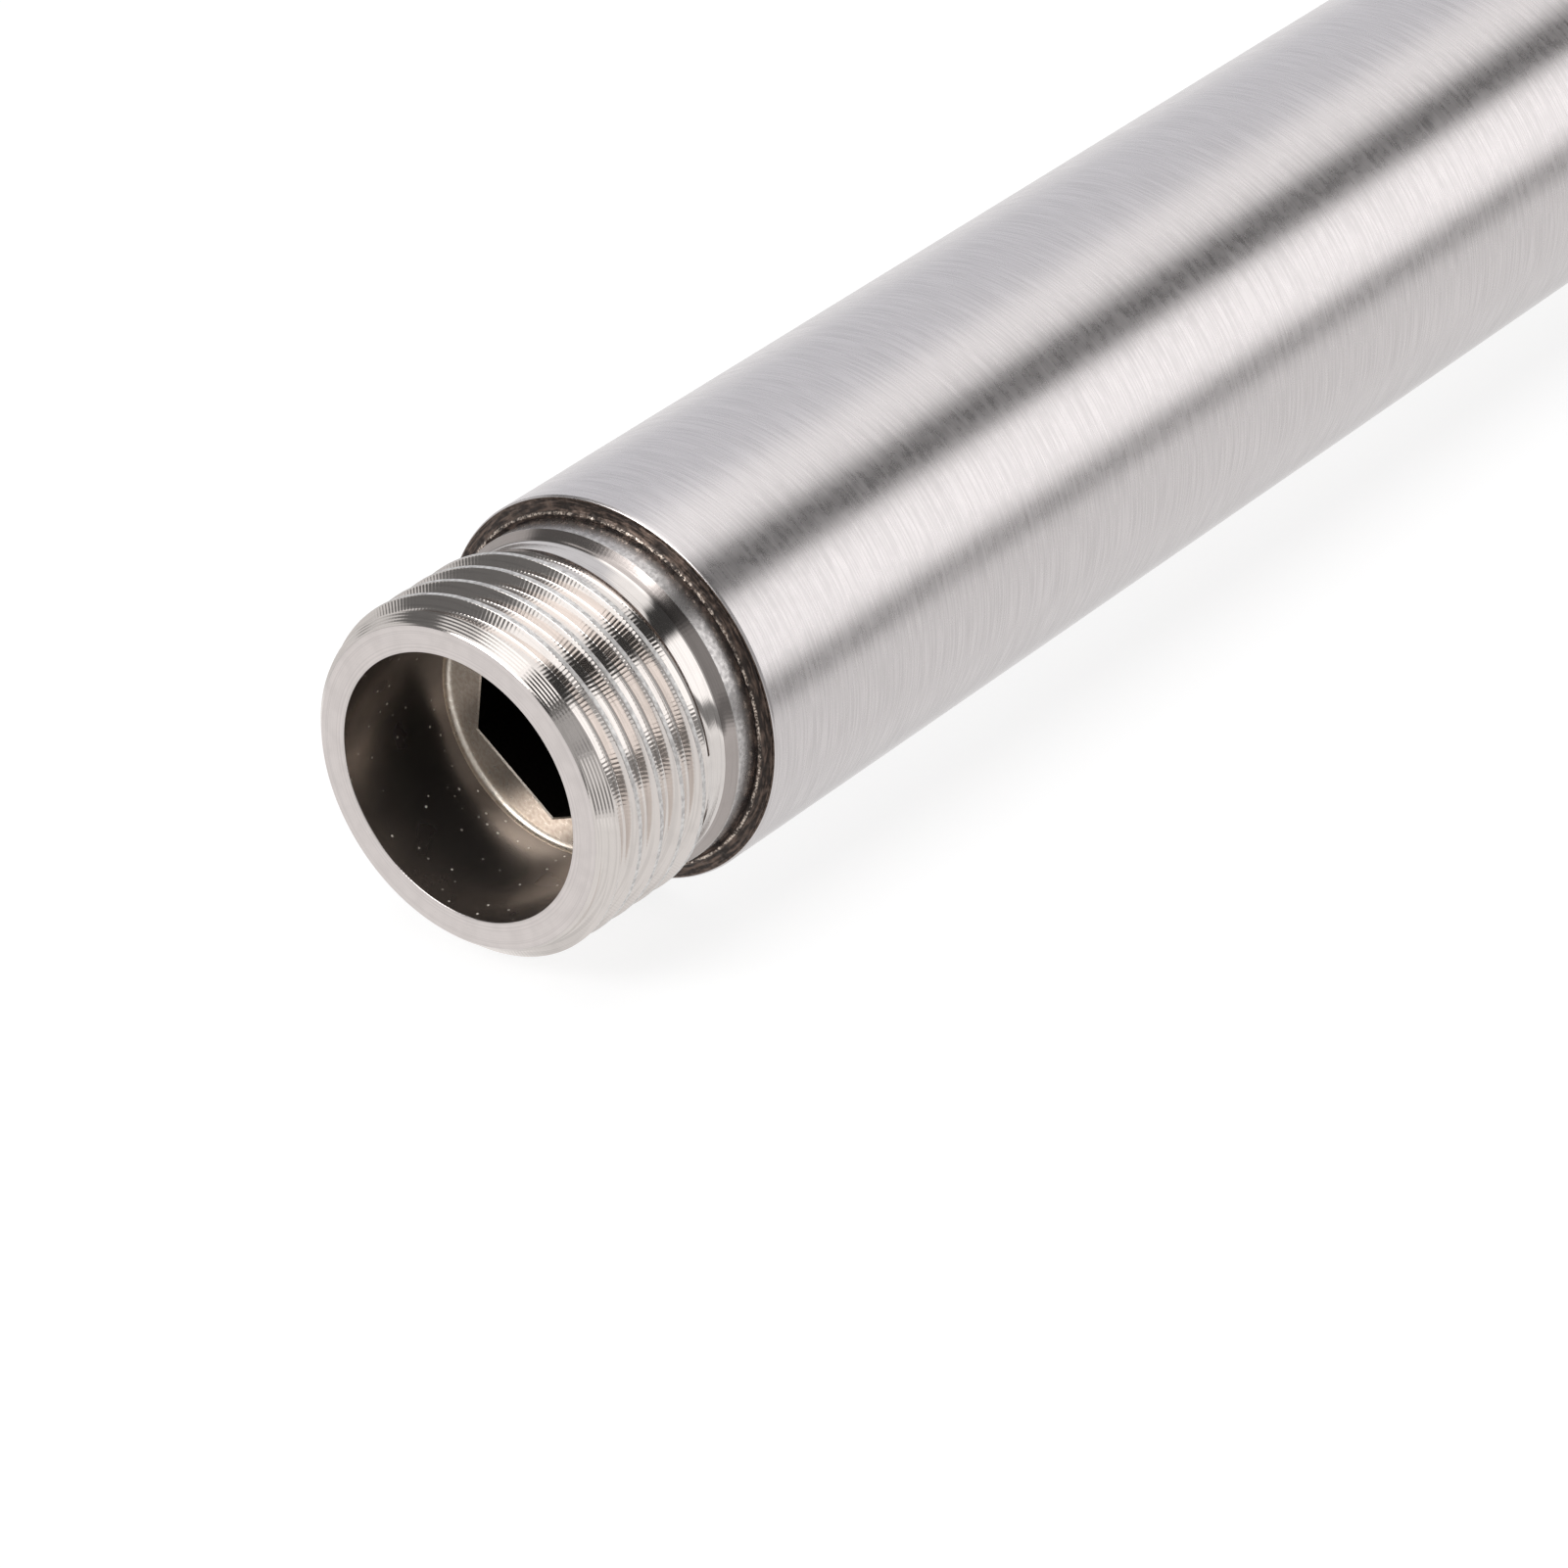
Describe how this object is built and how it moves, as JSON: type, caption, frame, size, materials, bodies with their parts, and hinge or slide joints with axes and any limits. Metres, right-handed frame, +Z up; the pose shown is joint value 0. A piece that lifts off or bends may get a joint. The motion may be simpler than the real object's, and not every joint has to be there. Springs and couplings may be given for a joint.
{
  "type": "shower arm",
  "caption": "Straight round shower arm: a brushed tube with a male-threaded, hex-socketed nipple brazed into each end.",
  "frame": {"origin": "centre of the inlet nipple's end face, on the arm's axis", "axes": "+X along the arm, from the inlet to the outlet; +Z up; -Y is the side seen in the picture"},
  "size_m": [0.2, 0.023, 0.023],
  "materials": {
    "brushed_tube": "satin, brushed round the tube, with a nickel tone",
    "plated_nipple": "turned brass under bright nickel plate, with fine tool marks",
    "burnt_braze": "dark brown, heat-stained and finely crackled"
  },
  "bodies": {
    "root": {"arm_tube": "brushed_tube", "inlet_nipple": "plated_nipple", "outlet_nipple": "plated_nipple", "inlet_braze_ring": "burnt_braze", "outlet_braze_ring": "burnt_braze"}
  },
  "joints": []
}
